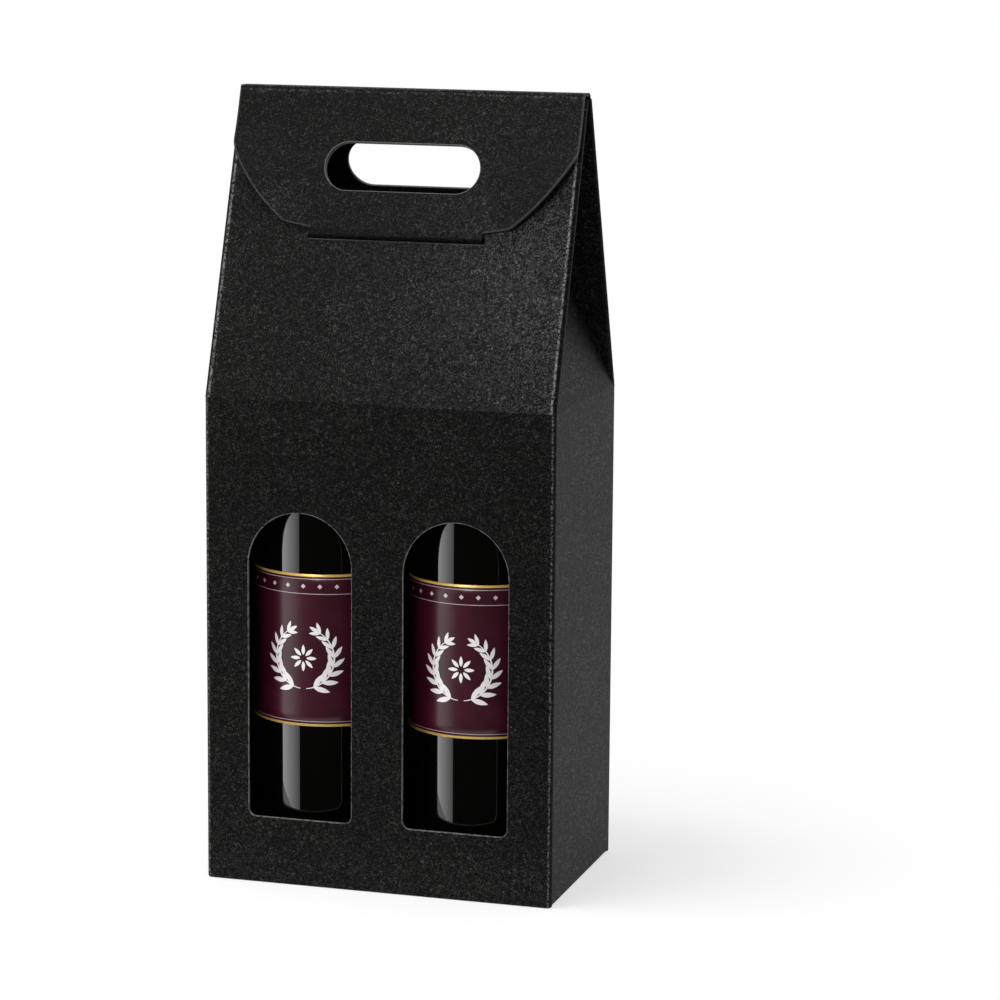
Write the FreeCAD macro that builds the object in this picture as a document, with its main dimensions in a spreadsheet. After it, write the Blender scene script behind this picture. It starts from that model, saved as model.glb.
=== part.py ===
import FreeCAD, Part
import os
import re
import Sketcher

# Gable carrier of black micro-flute board for two bottles, closed, with the bottles standing in it.
# The origin is the centre of the base, +Z is up, and the two windows face -Y. Millimetres.
# Board panels are given by their outer faces, and every size of the blank has its own value here.

SIZES = {
    # Board and tube
    "body_width": 180,
    "body_depth": 110,
    "shoulder_height": 244.5,
    "ridge_height": 395,
    "board": 1.5,
    "corner_radius": 2.4,
    "crease_radius": 1.2,
    # Gable: the strip over the ridge and the doubled edges of the slopes
    "ridge_width": 8,
    "ridge_bend_radius": 3.5,
    "ridge_gap": 1.2,
    "fold_gap": 1,
    # Windows in the front wall
    "window_width": 54,
    "window_height": 155,
    "window_sill": 34,
    "window_spacing": 80.6,
    "window_corner_radius": 4,
    # Handle hole and slit, measured down the slope from the hinge line
    "handle_length": 80,
    "handle_height": 24.5,
    "handle_drop": 39.3,
    "slit_drop": 74.8,
    "slit_clearance": 0.4,
    "slit_end_clearance": 1,
    "slit_relief_length": 4,
    "slit_relief_width": 1,
    # Closing flap and its tuck tab
    "flap_width": 178,
    "flap_gap": 0.3,
    "hinge_gap": 0.3,
    "flap_side_drop": 30,
    "flap_foot_width": 116.6,
    "flap_foot_drop": 68.3,
    "flap_curve_radius": 100,
    "flap_corner_radius": 14,
    "flap_foot_radius": 6,
    "tab_width": 89,
    "tab_neck_drop": 70.6,
    "tab_reach": 11,
    "tab_bend_radius": 0.7,
    "tab_corner_radius": 4,
    # Base flaps and glue flap
    "base_seam": 0.8,
    "flap_side_relief": 0.5,
    "glue_flap_width": 25,
    "glue_flap_margin": 8,
    # Divider between the bottles
    "divider_height": 200,
    "divider_front_flange": 11,
    "divider_back_flange": 25,
    # Bottles, measured up from the face each stands on
    "bottle_spacing": 82,
    "bottle_setback": 45,
    "bottle_diameter": 75,
    "bottle_height": 305,
    "bottle_heel_radius": 5,
    "punt_diameter": 54,
    "punt_height": 18,
    "bottle_side_height": 190,
    "shoulder_radius": 34,
    "shoulder_turn": 50,
    "neck_diameter": 30.4,
    "lip_diameter": 32,
    "lip_height": 17,
    "lip_edge_radius": 2,
    # Capsule and label
    "capsule_length": 61,
    "foil": 0.3,
    "foil_clearance": 0.1,
    "label_height": 77,
    "label_rise": 77.3,
    "label_wrap": 130,
    "label_paper": 0.25,
    "label_clearance": 0.05,
}

# Places worked out from the sizes, each a formula of the ones before it.
LAYOUT = {
    "slope_angle": "atan((body_depth - ridge_width) / 2 / (ridge_height - shoulder_height)) / 1 deg",
    "floor_height": "2 * board",
    "fold_radius": "board + fold_gap / 2",
    "slope_rise": "ridge_height - board - ridge_gap - shoulder_height",
    "slope_length": "slope_rise / cos(slope_angle)",
    # Mid-plane of the layer folded back behind each slope, and the crease where it meets the gusset
    "return_depth": "2 * fold_radius - board / 2",
    "crease_x": "body_width / 2 - board / 2 / cos(slope_angle)",
    "crease_y": "body_depth / 2 - return_depth / cos(slope_angle)",
    "crease_start": "return_depth * tan(slope_angle)",
    "crease_rise": "slope_rise - board / 2",
    # Hinge line of the flap, in the body and along the front slope from the shoulder
    "hinge_y": "-ridge_width / 2 - (flap_gap + board / 2) / cos(slope_angle) - board / 2 * tan(slope_angle)",
    "hinge_z": "ridge_height - board / 2",
    "hinge_along": "(hinge_y + body_depth / 2) * sin(slope_angle)"
                   " + (hinge_z - shoulder_height) * cos(slope_angle)",
    "handle_along": "hinge_along - handle_drop",
    "slit_along": "hinge_along - slit_drop",
    "slit_z": "hinge_z - slit_drop * cos(slope_angle)",
    "slit_half_height": "board / 2 + slit_clearance",
    "slit_half_length": "tab_width / 2 + slit_end_clearance",
    # Bend of the ridge strip
    "ridge_tangent": "ridge_bend_radius * tan((90 - slope_angle) / 2)",
    "strip_end": "hinge_y + board / 2 + hinge_gap",
    # Curved lower corners of the flap: chord of the curve and the distance of its centre
    "curve_across": "(flap_width - flap_foot_width) / 2",
    "curve_down": "flap_foot_drop - flap_side_drop",
    "curve_chord": "sqrt(pow(curve_across; 2) + pow(curve_down; 2))",
    "curve_offset": "sqrt(pow(flap_curve_radius; 2) - pow(curve_chord / 2; 2))",
    # Tab: inner and outer radius about the hinge line
    "tab_inner": "slit_drop - board / 2",
    "tab_outer": "slit_drop + board / 2",
    "tab_turn": "tab_reach / slit_drop * 180 / pi",
    "tab_bend_depth": "board / 2 + tab_bend_radius",
    # Bottle: the convex shoulder runs into the neck through a concave curve
    "bottle_radius": "bottle_diameter / 2",
    "neck_radius": "neck_diameter / 2",
    "shoulder_x": "bottle_radius - shoulder_radius * (1 - cos(shoulder_turn))",
    "shoulder_z": "bottle_side_height + shoulder_radius * sin(shoulder_turn)",
    "throat_radius": "(shoulder_x - neck_radius) / (1 - cos(shoulder_turn))",
    "neck_start": "shoulder_z + throat_radius * sin(shoulder_turn)",
    "punt_radius": "(pow(punt_diameter / 2; 2) + pow(punt_height; 2)) / (2 * punt_height)",
}

# Tolerance when an edge is looked for by its place
NEAR = 1e-4

FRONT_SLOPE = "rotation(vector(1; 0; 0); 90 - slope_angle)"
UP_THE_SLOPE = "rotation(vector(1; 0; 0); -slope_angle)"


def bound(text):
    """The expression with each size and place named through the sheet that holds it."""
    def full_name(match):
        word = match.group(0)
        if word in SIZES:
            return "Sizes." + word
        return "Layout." + word if word in LAYOUT else word
    return re.sub(r"[A-Za-z_]\w*", full_name, text)


def fill_sheet(document, title, rows):
    sheet = document.addObject("Spreadsheet::Sheet", title)
    for row, (alias, content) in enumerate(rows.items(), start=1):
        sheet.set(f"A{row}", alias.replace("_", " "))
        sheet.set(f"B{row}", content)
        sheet.setAlias(f"B{row}", alias)
    document.recompute()
    return sheet


def origin_plane(body, role):
    return next(feature for feature in body.Origin.OriginFeatures if feature.Role == role)


def new_body(document, name):
    body = document.addObject("PartDesign::Body", name)
    body.Label = name
    return body


def new_sketch(body, name, role="XY_Plane", at="vector(0; 0; 0)", turned="rotation(vector(0; 0; 1); 0)"):
    """An empty sketch on an origin plane of the body, moved and turned in that plane's own axes."""
    sketch = body.newObject("Sketcher::SketchObject", name)
    sketch.AttachmentSupport = [(origin_plane(body, role), "")]
    sketch.MapMode = "FlatFace"
    sketch.setExpression("AttachmentOffset", bound(f"placement({at}; {turned})"))
    return sketch


class Arc:
    """Side of an outline that runs round a centre instead of straight."""

    def __init__(self, x, y, clockwise=False):
        self.x, self.y, self.clockwise = x, y, clockwise


def draw_outline(sketch, stations):
    """Draw a closed outline. Stations are corners, each a pair of expressions, and an Arc
    between two corners bends the side that joins them."""
    def value(expression):
        return float(sketch.evalExpression(bound(expression)))

    def point(x, y):
        return FreeCAD.Vector(value(x), value(y), 0)

    def fix(axis, geometry, position, expression):
        index = sketch.addConstraint(Sketcher.Constraint("Distance" + axis, -1, 1, geometry, position,
                                                         value(expression)))
        sketch.setExpression(f"Constraints[{index}]", bound(expression))

    corners = [station for station in stations if not isinstance(station, Arc)]
    bends = {}
    for place, station in enumerate(stations):
        if isinstance(station, Arc):
            bends[stations[place - 1]] = station
    first = sketch.GeometryCount
    sides = []
    for place, corner in enumerate(corners):
        start, end = point(*corner), point(*corners[(place + 1) % len(corners)])
        bend = bends.get(corner)
        if bend is None:
            sketch.addGeometry(Part.LineSegment(start, end), False)
            sides.append((corner, None, 1, 2))
            continue
        centre = point(bend.x, bend.y)
        middle, chord = (start + end) / 2, end - start
        across = FreeCAD.Vector(-chord.y, chord.x, 0).normalize()
        centre = middle + across * (centre - middle).dot(across)
        tail, head = (end, start) if bend.clockwise else (start, end)
        spans = [FreeCAD.Vector(1, 0, 0).getAngle(end_point - centre) for end_point in (tail, head)]
        spans = [angle if end_point.y >= centre.y else -angle for angle, end_point in zip(spans, (tail, head))]
        circle = Part.Circle(centre, FreeCAD.Vector(0, 0, 1), (start - centre).Length)
        sketch.addGeometry(Part.ArcOfCircle(circle, spans[0], spans[1]), False)
        axis = "Y" if abs(chord.x) >= abs(chord.y) else "X"
        sides.append((corner, (axis, bend.y if axis == "Y" else bend.x),
                      2 if bend.clockwise else 1, 1 if bend.clockwise else 2))
    for place, (corner, bend, tail, head) in enumerate(sides):
        following = (place + 1) % len(sides)
        sketch.addConstraint(Sketcher.Constraint("Coincident", first + place, head,
                                                 first + following, sides[following][2]))
        fix("X", first + place, tail, corner[0])
        fix("Y", first + place, tail, corner[1])
        if bend:
            fix(bend[0], first + place, 3, bend[1])
    return sketch


def mirrored_stations(stations):
    """The same outline on the other side of the sketch's vertical axis."""
    flipped = []
    for station in reversed(stations):
        if isinstance(station, Arc):
            flipped.append(Arc(f"-({station.x})", station.y, station.clockwise))
        else:
            flipped.append((f"-({station[0]})", station[1]))
    return flipped


def feature(body, kind, name, profile, length, symmetric=False, reversed_way=False):
    made = body.newObject("PartDesign::" + kind, name)
    made.Profile = profile
    made.setExpression("Length", bound(length))
    made.SideType = "Symmetric" if symmetric else "One side"
    made.Reversed = reversed_way
    return made


def mirrored(body, name, originals, role):
    made = body.newObject("PartDesign::Mirrored", name)
    made.Originals = originals
    made.MirrorPlane = (origin_plane(body, role), [""])
    body.Tip = made
    return made


def revolved(body, name, profile, angle, symmetric=False):
    made = body.newObject("PartDesign::Revolution", name)
    made.Profile = profile
    made.ReferenceAxis = (profile, ["V_Axis"])
    made.Midplane = symmetric
    made.setExpression("Angle", bound(angle))
    return made


def rounded(document, body, name, radius, wanted):
    """Round the edges that pass the test, which reads the shape as it then stands."""
    document.recompute()
    base = body.Tip
    made = body.newObject("PartDesign::Fillet", name)
    made.Base = (base, [f"Edge{number}" for number, edge in enumerate(base.Shape.Edges, start=1)
                        if wanted(edge)])
    made.setExpression("Radius", bound(radius))
    return made


def across_board(document, edge, x):
    """Whether the edge runs straight through the board's thickness at x on either side."""
    return (abs(edge.Length - document.Sizes.board) < NEAR and edge.BoundBox.XLength < NEAR
            and abs(abs(edge.CenterOfMass.x) - x) < NEAR)


def stadium(length, height, centre_y):
    """Handle hole: straight top and bottom, half-round ends."""
    straight, half = f"({length} - {height}) / 2", f"{height} / 2"
    top, bottom = f"{centre_y} + {half}", f"{centre_y} - {half}"
    return [(f"-({straight})", bottom), (straight, bottom), Arc(straight, centre_y),
            (straight, top), (f"-({straight})", top), Arc(f"-({straight})", centre_y)]


def rounded_rectangle(half_x, half_y, radius):
    inner_x, inner_y = f"{half_x} - ({radius})", f"{half_y} - ({radius})"
    return [(f"-({inner_x})", f"-({half_y})"), (inner_x, f"-({half_y})"), Arc(inner_x, f"-({inner_y})"),
            (half_x, f"-({inner_y})"), (half_x, inner_y), Arc(inner_x, inner_y),
            (inner_x, half_y), (f"-({inner_x})", half_y), Arc(f"-({inner_x})", inner_y),
            (f"-({half_x})", inner_y), (f"-({half_x})", f"-({inner_y})"), Arc(f"-({inner_x})", f"-({inner_y})")]


def rectangle(x_low, x_high, y_low, y_high):
    return [(x_low, y_low), (x_high, y_low), (x_high, y_high), (x_low, y_high)]


def build_slopes(body):
    """Front and back slope, each doubled at its side edges, with its handle hole."""
    # Section across the front slope: the panel, a full turn round each side edge, the layer behind it
    nose = "body_width / 2 - fold_radius"
    back, inner_back = "2 * fold_radius", "2 * fold_radius - board"
    reach = "crease_x - slope_length * sin(slope_angle)"
    section = draw_outline(
        new_sketch(body, "slope_section", at="vector(0; -body_depth / 2; shoulder_height)", turned=UP_THE_SLOPE), [
            (f"-({nose})", "0"), (nose, "0"), Arc(nose, "fold_radius"),
            (nose, back), (reach, back), (reach, inner_back), (nose, inner_back),
            Arc(nose, "fold_radius", clockwise=True),
            (nose, "board"), (f"-({nose})", "board"), Arc(f"-({nose})", "fold_radius", clockwise=True),
            (f"-({nose})", inner_back), (f"-({reach})", inner_back), (f"-({reach})", back),
            (f"-({nose})", back), Arc(f"-({nose})", "fold_radius")])
    panel = feature(body, "Pad", "slope", section, "slope_length")

    # The layer behind ends at the gusset's crease, which runs from the shoulder corner inwards
    wide = "crease_x + crease_start * sin(slope_angle)"
    narrow = "crease_x - (slope_length + board - crease_start) * sin(slope_angle)"
    trim = draw_outline(
        new_sketch(body, "gusset_crease_line", turned=FRONT_SLOPE,
                   at="vector(0; -body_depth / 2 + fold_radius * cos(slope_angle);"
                      " shoulder_height - fold_radius * sin(slope_angle))"),
        [(f"-({wide})", "0"), (wide, "0"), (narrow, "slope_length + board"),
         (f"-({narrow})", "slope_length + board")])
    trimmed = feature(body, "Pocket", "gusset_crease_cut", trim, "2 * fold_radius")

    hole = draw_outline(
        new_sketch(body, "handle_outline", turned=FRONT_SLOPE,
                   at="vector(0; -body_depth / 2; shoulder_height)"),
        stadium("handle_length", "handle_height", "handle_along"))
    handle = feature(body, "Pocket", "handle_hole", hole, "2 * board")
    mirrored(body, "back_slope", [panel, trimmed, handle], "XZ_Plane")


def build_walls(body):
    """Rectangular tube of the four walls, with the arched windows in the front one."""
    plan = new_sketch(body, "wall_plan")
    draw_outline(plan, rounded_rectangle("body_width / 2", "body_depth / 2", "corner_radius"))
    draw_outline(plan, rounded_rectangle("body_width / 2 - board", "body_depth / 2 - board",
                                         "corner_radius - board"))
    feature(body, "Pad", "walls", plan, "shoulder_height")

    # The side walls end above the outer base flaps, at the level where their own flaps turn in
    step = rectangle("body_width / 2 - board", "body_width / 2 + board",
                     "-body_depth / 2 + corner_radius", "body_depth / 2 - corner_radius")
    relief = new_sketch(body, "side_wall_feet")
    draw_outline(relief, step)
    draw_outline(relief, mirrored_stations(step))
    feature(body, "Pocket", "side_wall_lift", relief, "board", reversed_way=True)

    low = "window_sill"
    spring = "window_sill + window_height - window_width / 2"
    left, right = "(window_spacing - window_width) / 2", "(window_spacing + window_width) / 2"
    corner_low = "window_sill + window_corner_radius"
    arch = [(f"{left} + window_corner_radius", low), (f"{right} - window_corner_radius", low),
            Arc(f"{right} - window_corner_radius", corner_low), (right, corner_low),
            (right, spring), Arc("window_spacing / 2", spring), (left, spring),
            (left, corner_low), Arc(f"{left} + window_corner_radius", corner_low)]
    openings = new_sketch(body, "window_outlines", role="XZ_Plane", at="vector(0; 0; body_depth / 2)")
    draw_outline(openings, arch)
    draw_outline(openings, mirrored_stations(arch))
    feature(body, "Pocket", "windows", openings, "2 * board")


def build_slit(body):
    """Slit for the tab across the front slope, its ends turned up so that the board doesn't tear."""
    low, high = "slit_along - slit_half_height", "slit_along + slit_half_height"
    tip = "slit_half_length - slit_relief_length / 2"
    top = f"{high} + slit_relief_length"
    slit = draw_outline(
        new_sketch(body, "slit_outline", turned=FRONT_SLOPE,
                   at="vector(0; -body_depth / 2; shoulder_height)"),
        [("-slit_half_length", low), ("slit_half_length", low), ("slit_half_length", high),
         (f"{tip} + slit_relief_width", top), (tip, top),
         ("slit_half_length - slit_relief_width", high), ("-slit_half_length + slit_relief_width", high),
         (f"-({tip})", top), (f"-({tip}) - slit_relief_width", top), ("-slit_half_length", high)])
    feature(body, "Pocket", "tab_slit", slit, "2 * board")


def build_gussets(body):
    """Side gussets: a triangle that leans in from each shoulder, joined by round creases."""
    narrow = "crease_y - slope_rise * tan(slope_angle)"
    for side, out in (("left", -1), ("right", 1)):
        face = draw_outline(
            new_sketch(body, f"{side}_gusset_triangle", role="YZ_Plane",
                       at=f"vector(0; shoulder_height; {out} * body_width / 2)",
                       turned=f"rotation(vector(1; 0; 0); {-out} * slope_angle)"),
            [("-crease_y", "0"), ("crease_y", "0"), (narrow, "slope_length"), (f"-({narrow})", "slope_length")])
        feature(body, "Pad", f"{side}_gusset", face, "board", reversed_way=out > 0)
        for end, way in (("front", -1), ("rear", 1)):
            crease = body.newObject("PartDesign::AdditiveCylinder", f"{side}_{end}_gusset_crease")
            crease.AttachmentSupport = [(origin_plane(body, "XY_Plane"), "")]
            crease.MapMode = "FlatFace"
            crease.setExpression("AttachmentOffset", bound(
                f"placement(vector({out} * crease_x; {way} * crease_y; shoulder_height);"
                f" rotation(vector({way}; {-out}; 0); atan(sqrt(2) * tan(slope_angle))))"))
            crease.setExpression("Radius", bound("board / 2"))
            crease.setExpression("Height", bound("crease_rise * sqrt(1 + 2 * pow(tan(slope_angle); 2))"))


def build_ridge_strip(body):
    """Narrow strip that carries the back slope over the ridge to the hinge of the flap."""
    lean_y, lean_z = "sin(slope_angle)", "cos(slope_angle)"
    end_y = f"body_depth / 2 - slope_length * {lean_y}"
    end_z = f"shoulder_height + slope_length * {lean_z}"
    bend_y = f"ridge_width / 2 + ridge_tangent * {lean_y}"
    bend_z = f"ridge_height - ridge_tangent * {lean_z}"
    flat_y = "ridge_width / 2 - ridge_tangent"
    centre = (flat_y, "ridge_height - ridge_bend_radius")
    profile = draw_outline(new_sketch(body, "ridge_strip_section", role="YZ_Plane"), [
        (end_y, end_z), (bend_y, bend_z), Arc(*centre), (flat_y, "ridge_height"),
        ("strip_end", "ridge_height"), ("strip_end", "ridge_height - board"), (flat_y, "ridge_height - board"),
        Arc(*centre, clockwise=True),
        (f"{bend_y} - board * {lean_z}", f"{bend_z} - board * {lean_y}"),
        (f"{end_y} - board * {lean_z}", f"{end_z} - board * {lean_y}")])
    feature(body, "Pad", "ridge_strip", profile, "flap_width", symmetric=True)


def build_base(body):
    """Two layers of base flaps that meet at seams: front and rear below, left and right above."""
    inner_x, inner_y = "body_width / 2 - board - flap_side_relief", "body_depth / 2 - board - flap_side_relief"
    lower = new_sketch(body, "outer_base_flaps")
    draw_outline(lower, rectangle(f"-({inner_x})", inner_x, "-body_depth / 2 + board / 2", "-base_seam / 2"))
    draw_outline(lower, rectangle(f"-({inner_x})", inner_x, "base_seam / 2", "body_depth / 2 - board / 2"))
    feature(body, "Pad", "outer_flaps", lower, "board")
    upper = new_sketch(body, "inner_base_flaps", at="vector(0; 0; board)")
    draw_outline(upper, rectangle("-body_width / 2 + board / 2", "-base_seam / 2", f"-({inner_y})", inner_y))
    draw_outline(upper, rectangle("base_seam / 2", "body_width / 2 - board / 2", f"-({inner_y})", inner_y))
    feature(body, "Pad", "inner_flaps", upper, "board")


def build_glue_flap(body):
    """Maker's joint: the left wall's flap, glued to the inside of the back wall."""
    outer = "-body_width / 2 + board / 2"
    inner = "-body_width / 2 + board + glue_flap_width"
    low, high = "floor_height + glue_flap_margin", "shoulder_height - glue_flap_margin"
    shape = draw_outline(
        new_sketch(body, "glue_flap_outline", role="XZ_Plane", at="vector(0; 0; -body_depth / 2 + board)"),
        [(outer, low), (inner, f"{low} + glue_flap_margin"), (inner, f"{high} - glue_flap_margin"), (outer, high)])
    feature(body, "Pad", "glue_flap", shape, "board")


def round_base_creases(document, body):
    """Front and rear walls turn round a soft crease into the base flaps."""
    front = document.Sizes.body_depth / 2
    rounded(document, body, "base_creases", "crease_radius",
            lambda edge: edge.BoundBox.ZMax < NEAR and edge.BoundBox.YLength < NEAR
            and abs(abs(edge.CenterOfMass.y) - front) < NEAR)


def build_carton(document):
    body = new_body(document, "carton")
    build_slopes(body)
    build_walls(body)
    build_slit(body)
    build_gussets(body)
    build_ridge_strip(body)
    build_base(body)
    build_glue_flap(body)
    round_base_creases(document, body)
    return body


def build_flap(document):
    """Closing flap: lies on the front slope, turns about the crease at the ridge."""
    body = new_body(document, "closing_flap")
    hinge = "vector(0; hinge_y; hinge_z)"
    half, foot, neck = "flap_width / 2", "flap_foot_width / 2", "tab_width / 2"
    centre_x = "(flap_width + flap_foot_width) / 4 - curve_offset * curve_down / curve_chord"
    centre_y = "-(flap_side_drop + flap_foot_drop) / 2 + curve_offset * curve_across / curve_chord"
    right_side = [(neck, "-tab_inner + tab_bend_radius"), (neck, "-tab_neck_drop"), (foot, "-flap_foot_drop"),
                  Arc(centre_x, centre_y), (half, "-flap_side_drop"), (half, "0")]
    sheet = draw_outline(new_sketch(body, "flap_outline", at=hinge, turned=FRONT_SLOPE),
                         right_side + mirrored_stations(right_side))
    feature(body, "Pad", "flap_panel", sheet, "board", symmetric=True)
    hole = draw_outline(new_sketch(body, "flap_handle_outline", at=hinge, turned=FRONT_SLOPE),
                        stadium("handle_length", "handle_height", "-handle_drop"))
    feature(body, "Pocket", "flap_handle_hole", hole, "2 * board", symmetric=True)

    # Crease: a round bead on the hinge line, the full thickness of the board
    section_place = {"role": "YZ_Plane", "at": "vector(hinge_y; hinge_z; 0)",
                     "turned": "rotation(vector(0; 0; 1); -slope_angle)"}
    bead = draw_outline(new_sketch(body, "crease_section", **section_place), [
        ("-board / 2", "0"), Arc("0", "0"), ("board / 2", "0"), Arc("0", "0")])
    feature(body, "Pad", "crease_bead", bead, "flap_width", symmetric=True)

    # Tab: bent in at the slit and curved about the hinge line, so that it slides out as the flap opens
    bend_centre = ("tab_bend_depth", "-tab_inner + tab_bend_radius")
    root = "tab_bend_depth"
    tab = draw_outline(new_sketch(body, "tab_section", **section_place), [
        ("board / 2", "-tab_inner + tab_bend_radius"), Arc(*bend_centre),
        (root, f"-sqrt(pow(tab_inner; 2) - pow({root}; 2))"), Arc("0", "0"),
        ("tab_inner * sin(tab_turn)", "-tab_inner * cos(tab_turn)"),
        ("tab_outer * sin(tab_turn)", "-tab_outer * cos(tab_turn)"), Arc("0", "0", clockwise=True),
        (root, f"-sqrt(pow(tab_outer; 2) - pow({root}; 2))"), Arc(*bend_centre, clockwise=True),
        ("-board / 2", "-tab_inner + tab_bend_radius")])
    feature(body, "Pad", "tuck_tab", tab, "tab_width", symmetric=True)

    # Rounded corners: below the straight sides, at the foot, and at the free end of the tab
    side_x, foot_x = document.Sizes.flap_width / 2, document.Sizes.flap_foot_width / 2
    rounded(document, body, "flap_corners", "flap_corner_radius",
            lambda edge: across_board(document, edge, side_x))
    rounded(document, body, "flap_foot_corners", "flap_foot_radius",
            lambda edge: across_board(document, edge, foot_x))
    tab_x, slit_z = document.Sizes.tab_width / 2, document.Layout.slit_z
    rounded(document, body, "tab_corners", "tab_corner_radius",
            lambda edge: across_board(document, edge, tab_x) and edge.CenterOfMass.z < slit_z)
    return body


def build_divider(document):
    """Z-folded sheet: a web across the box and a flange glued to the front and back walls."""
    body = new_body(document, "divider")
    wall, skin = "body_depth / 2 - board", "board / 2"
    front_in, back_in = f"-({wall}) + board", f"{wall} - board"
    plan = draw_outline(new_sketch(body, "divider_plan", at="vector(0; 0; floor_height)"), [
        (skin, f"-({wall})"), ("divider_front_flange", f"-({wall})"), ("divider_front_flange", front_in),
        (skin, front_in), (skin, back_in), Arc(f"-({skin})", back_in), (f"-({skin})", wall),
        ("-divider_back_flange", wall), ("-divider_back_flange", back_in), (f"-({skin})", back_in),
        (f"-({skin})", front_in), Arc(skin, front_in)])
    feature(body, "Pad", "divider_sheet", plan, "divider_height")
    return body


def bottle_place(side):
    return (f"placement(vector({side} * bottle_spacing / 2; bottle_setback - body_depth / 2; floor_height);"
            " rotation(vector(0; 0; 1); 0))")


def build_bottle(document, name, side):
    """Sealed bottle: punt, heel, straight side, shoulder, neck and lip, one revolved profile."""
    body = new_body(document, name)
    body.setExpression("Placement", bound(bottle_place(side)))
    lip = "lip_diameter / 2"
    profile = draw_outline(new_sketch(body, "bottle_profile", role="XZ_Plane"), [
        ("0", "punt_height"), Arc("0", "punt_height - punt_radius", clockwise=True), ("punt_diameter / 2", "0"),
        ("bottle_radius - bottle_heel_radius", "0"),
        Arc("bottle_radius - bottle_heel_radius", "bottle_heel_radius"), ("bottle_radius", "bottle_heel_radius"),
        ("bottle_radius", "bottle_side_height"), Arc("bottle_radius - shoulder_radius", "bottle_side_height"),
        ("shoulder_x", "shoulder_z"), Arc("neck_radius + throat_radius", "neck_start", clockwise=True),
        ("neck_radius", "neck_start"), ("neck_radius", "bottle_height - lip_height"),
        (lip, "bottle_height - lip_height"), (lip, "bottle_height - lip_edge_radius"),
        Arc(f"{lip} - lip_edge_radius", "bottle_height - lip_edge_radius"),
        (f"{lip} - lip_edge_radius", "bottle_height"), ("0", "bottle_height")])
    revolved(body, "glass", profile, "360")
    return body


def build_capsule(document, name, side):
    """Foil capsule that follows the neck and the lip with a small clearance."""
    body = new_body(document, name)
    body.setExpression("Placement", bound(bottle_place(side)))
    neck, lip = "neck_radius + foil_clearance", "lip_diameter / 2 + foil_clearance"
    ledge = "bottle_height - lip_height - foil_clearance"
    top, edge = "bottle_height + foil_clearance", "lip_edge_radius"
    low = "bottle_height - capsule_length"
    profile = draw_outline(new_sketch(body, "capsule_profile", role="XZ_Plane"), [
        (neck, low), (f"{neck} + foil", low), (f"{neck} + foil", f"{ledge} - foil"),
        (f"{lip} + foil", f"{ledge} - foil"), (f"{lip} + foil", f"{top} - {edge}"),
        Arc(f"{lip} - {edge}", f"{top} - {edge}"), (f"{lip} - {edge}", f"{top} + foil"),
        ("0", f"{top} + foil"), ("0", top), (f"{lip} - {edge}", top),
        Arc(f"{lip} - {edge}", f"{top} - {edge}", clockwise=True), (lip, f"{top} - {edge}"),
        (lip, ledge), (neck, ledge)])
    revolved(body, "foil_skin", profile, "360")
    return body


def build_label(document, name, side):
    """Paper label wrapped round the front of the bottle's straight side."""
    body = new_body(document, name)
    body.setExpression("Placement", bound(bottle_place(side)))
    inner = "bottle_radius + label_clearance"
    strip = draw_outline(new_sketch(body, "label_section", role="YZ_Plane"),
                         rectangle(f"-({inner} + label_paper)", f"-({inner})",
                                   "label_rise", "label_rise + label_height"))
    revolved(body, "label_wrap_round", strip, "label_wrap", symmetric=True)
    return body


def check(document, bodies):
    """Stop if a feature failed, cut or added nothing, or left a shape that isn't sound."""
    for item in document.Objects:
        if {"Invalid", "Error"} & set(item.State):
            raise RuntimeError(f"{item.Label} failed: {item.State}")
    for body in bodies:
        if body.Shape.isNull() or not body.Shape.isValid() or len(body.Shape.Solids) != 1:
            raise RuntimeError(f"{body.Label} is not one sound solid")
        for item in body.Group:
            if item.isDerivedFrom("PartDesign::FeatureAddSub") and item.BaseFeature:
                change = item.Shape.Volume - item.BaseFeature.Shape.Volume
                cuts = item.isDerivedFrom("PartDesign::Pocket") or item.isDerivedFrom("PartDesign::DressUp")
                if change * (-1 if cuts else 1) <= 0:
                    raise RuntimeError(f"{item.Label} changed nothing")


def main():
    document = FreeCAD.newDocument("TwoBottleCarrier")
    fill_sheet(document, "Sizes", {alias: str(size) for alias, size in SIZES.items()})
    fill_sheet(document, "Layout", {alias: "=" + re.sub(r"Layout\.", "", bound(formula))
                                    for alias, formula in LAYOUT.items()})
    bodies = [build_carton(document), build_flap(document), build_divider(document)]
    for name, side in (("left", -1), ("right", 1)):
        bodies.append(build_bottle(document, f"bottle_{name}", side))
        bodies.append(build_capsule(document, f"capsule_{name}", side))
        bodies.append(build_label(document, f"label_{name}", side))
    document.recompute()
    check(document, bodies)
    os.makedirs("parts", exist_ok=True)
    for body in bodies:
        body.Shape.exportStep(f"parts/{body.Label}.step")


main()
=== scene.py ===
from math import atan, atan2, cos, pi, radians, sin, sqrt, tan

import bmesh
import bpy
from mathutils import Matrix, Vector


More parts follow.
